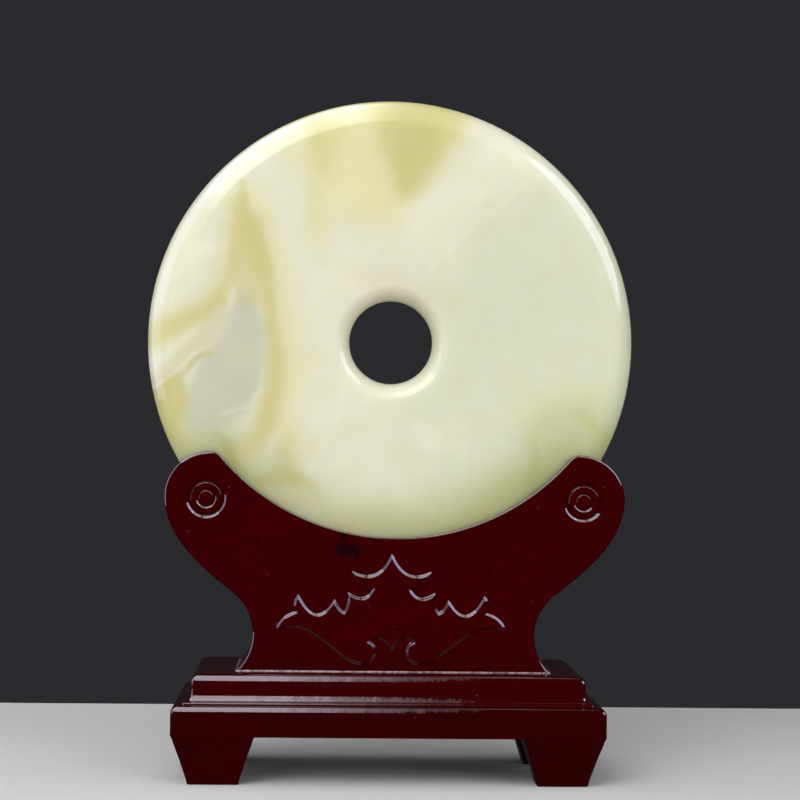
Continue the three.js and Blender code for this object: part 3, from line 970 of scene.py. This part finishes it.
# Places and sizes of the lights, in metres
MIDDLE = (0, 0, 0.16)
WHITE = (1, 1, 1)
VIOLET = (1.0, 0.93, 1.04)
BLUE = (0.9, 0.92, 1.3)
CARD_HEIGHT = 1.05
OVERHEAD_PLACE = (-0.52, -1.05)
OVERHEAD_SIZE = (0.92, 3.1)
OVERHEAD_RADIANCE = 8.5
FADE_WIDTH = 0.04
FADE_SHARES = (0.7, 0.45, 0.25, 0.12)
CARVING_CARD_PLACE = (0.34, -0.40)
CARVING_CARD_SIZE = (0.8, 1.5)

# Lights for the surfaces alone: name, place, aim, size and radiance
SURFACE_LIGHTS = (
    ("key", (-0.60, -1.05, 0.78), MIDDLE, (1.0, 1.0), 3.75),
    ("top", (-0.05, -0.45, 1.10), (-0.05, -0.15, 0), (1.0, 0.8), 1.1),
    ("fill", (0.85, -0.95, 0.50), MIDDLE, (1.0, 1.0), 2.0),
    ("left_side", (-1.05, 0.05, 0.40), MIDDLE, (0.8, 0.8), 0.4),
)


def make_camera():
    camera = bpy.data.objects.new("camera", bpy.data.cameras.new("camera"))
    camera.data.lens = CAMERA_LENS
    camera.data.sensor_width = 36
    camera.data.clip_start = 0.02
    ahead = Vector((
        math.sin(CAMERA_YAW) * math.cos(CAMERA_PITCH),
        math.cos(CAMERA_YAW) * math.cos(CAMERA_PITCH),
        math.sin(CAMERA_PITCH),
    ))
    level = Vector((math.cos(CAMERA_YAW), -math.sin(CAMERA_YAW), 0))
    upward = level.cross(ahead)
    right = level * math.cos(CAMERA_ROLL) + upward * math.sin(CAMERA_ROLL)
    up = right.cross(ahead)
    turn = Matrix((right, up, -ahead)).transposed().to_4x4()
    camera.matrix_world = Matrix.Translation(Vector(CAMERA_PLACE) * MM) @ turn
    bpy.context.scene.collection.objects.link(camera)
    bpy.context.scene.camera = camera


def soft_light(name, place, aim, size, radiance, use, shape="RECTANGLE", tint=WHITE, only=None):
    """A soft box of an even radiance that either lights the surfaces or only shines in their gloss."""
    width, height = size
    light = bpy.data.lights.new(name, "AREA")
    light.shape = shape
    light.size = width
    light.size_y = height
    light.energy = radiance * math.pi * width * height
    light.color = tint
    lamp = bpy.data.objects.new(name, light)
    lamp.location = place
    lamp.rotation_euler = (Vector(aim) - Vector(place)).to_track_quat("-Z", "Y").to_euler()
    lamp.visible_camera = False
    lamp.visible_glossy = use == "shine"
    lamp.visible_diffuse = use == "light"
    bpy.context.scene.collection.objects.link(lamp)
    if only:
        receivers = bpy.data.collections.new(f"{name}_receivers")
        receivers.objects.link(only)
        lamp.light_linking.receiver_collection = receivers


def hanging_card(name, place, size, radiance, **options):
    """A card that faces straight down and only shines in the gloss."""
    soft_light(name, (*place, CARD_HEIGHT), (*place, 0), size, radiance, "shine", **options)


def make_world():
    """Dark grey to look at, near black in reflections as in a studio with black sides, and a soft fill."""
    world = bpy.context.scene.world or bpy.data.worlds.new("studio")
    bpy.context.scene.world = world
    world.use_nodes = True
    tree = world.node_tree
    path = tree.nodes.new("ShaderNodeLightPath")
    shown = None
    for tint, ray in ((STUDIO_FILL, None), (STUDIO_DARK, "Is Glossy Ray"), (STUDIO_GREY, "Is Camera Ray")):
        background = tree.nodes.new("ShaderNodeBackground")
        background.inputs["Color"].default_value = (*tint, 1)
        either = background
        if shown:
            either = tree.nodes.new("ShaderNodeMixShader")
            tree.links.new(path.outputs[ray], either.inputs["Fac"])
            tree.links.new(shown.outputs[0], either.inputs[1])
            tree.links.new(background.outputs[0], either.inputs[2])
        shown = either
    tree.links.new(shown.outputs[0], tree.nodes["World Output"].inputs["Surface"])


def make_floor():
    """A plain pale table top with softened edges, kept out of the reflections in the lacquer."""
    graph = Graph("pale_floor")
    cloud = graph.noise(graph.place, scale=3.0, detail=2.0)
    material = graph.finish(
        base_color=graph.mix(graph.ramp(cloud, 0.3, 0.7), *FLOOR_TONES),
        roughness=0.7,
        specular_ior_level=0.2,
    )
    low = np.array([-FLOOR_WIDTH / 2, -FLOOR_FRONT, -FLOOR_THICKNESS])
    high = np.array([FLOOR_WIDTH / 2, FLOOR_BACK, 0])
    profile = [(0, 0), *rounding(FLOOR_EDGE, FLOOR_THICKNESS - FLOOR_EDGE, FLOOR_EDGE, 0, 90)]
    floor = stack("floor", material, low, high, profile, FLOOR_CORNER)
    floor.visible_glossy = False


def make_cards(upright):
    """The cards that shine in the gloss. The one overhead fades out to the right, in strips."""
    hanging_card("overhead_card", OVERHEAD_PLACE, OVERHEAD_SIZE, OVERHEAD_RADIANCE, tint=VIOLET)
    fade_start = OVERHEAD_PLACE[0] + OVERHEAD_SIZE[0] / 2 + FADE_WIDTH / 2
    for step, share in enumerate(FADE_SHARES):
        place = (fade_start + FADE_WIDTH * step, OVERHEAD_PLACE[1])
        size = (FADE_WIDTH, OVERHEAD_SIZE[1])
        hanging_card(f"overhead_edge_{step}", place, size, OVERHEAD_RADIANCE * share, tint=VIOLET)
    soft_light("left_card", (-0.98, -0.10, 0.45), MIDDLE, (0.9, 1.1), 4.4, "shine", tint=BLUE)
    soft_light(
        "right_card", (0.88, -0.32, 0.74), MIDDLE, (1.0, 0.82), 7.0, "shine", shape="ELLIPSE", tint=BLUE,
    )
    hanging_card("carving_card", CARVING_CARD_PLACE, CARVING_CARD_SIZE, 6.0, only=upright)


def make_stage(upright):
    bpy.context.scene.view_settings.view_transform = "Standard"
    make_world()
    make_floor()
    for values in SURFACE_LIGHTS:
        soft_light(*values, "light")
    make_cards(upright)


def dress(piece, node):
    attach(piece, "root")
    if node:
        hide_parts(node)


lacquer = make_lacquer()
carved_upright = make_upright(lacquer)
make_camera()
make_stage(carved_upright)
dress(make_disc(make_jade()), "disc")
dress(carved_upright, "upright")
dress(make_plinth(lacquer), "plinth")
for node_name in ("foot_front_left", "foot_front_right", "foot_back_left", "foot_back_right"):
    dress(make_foot(node_name, lacquer), node_name)
dress(make_bead(make_bead_lacquer()), None)
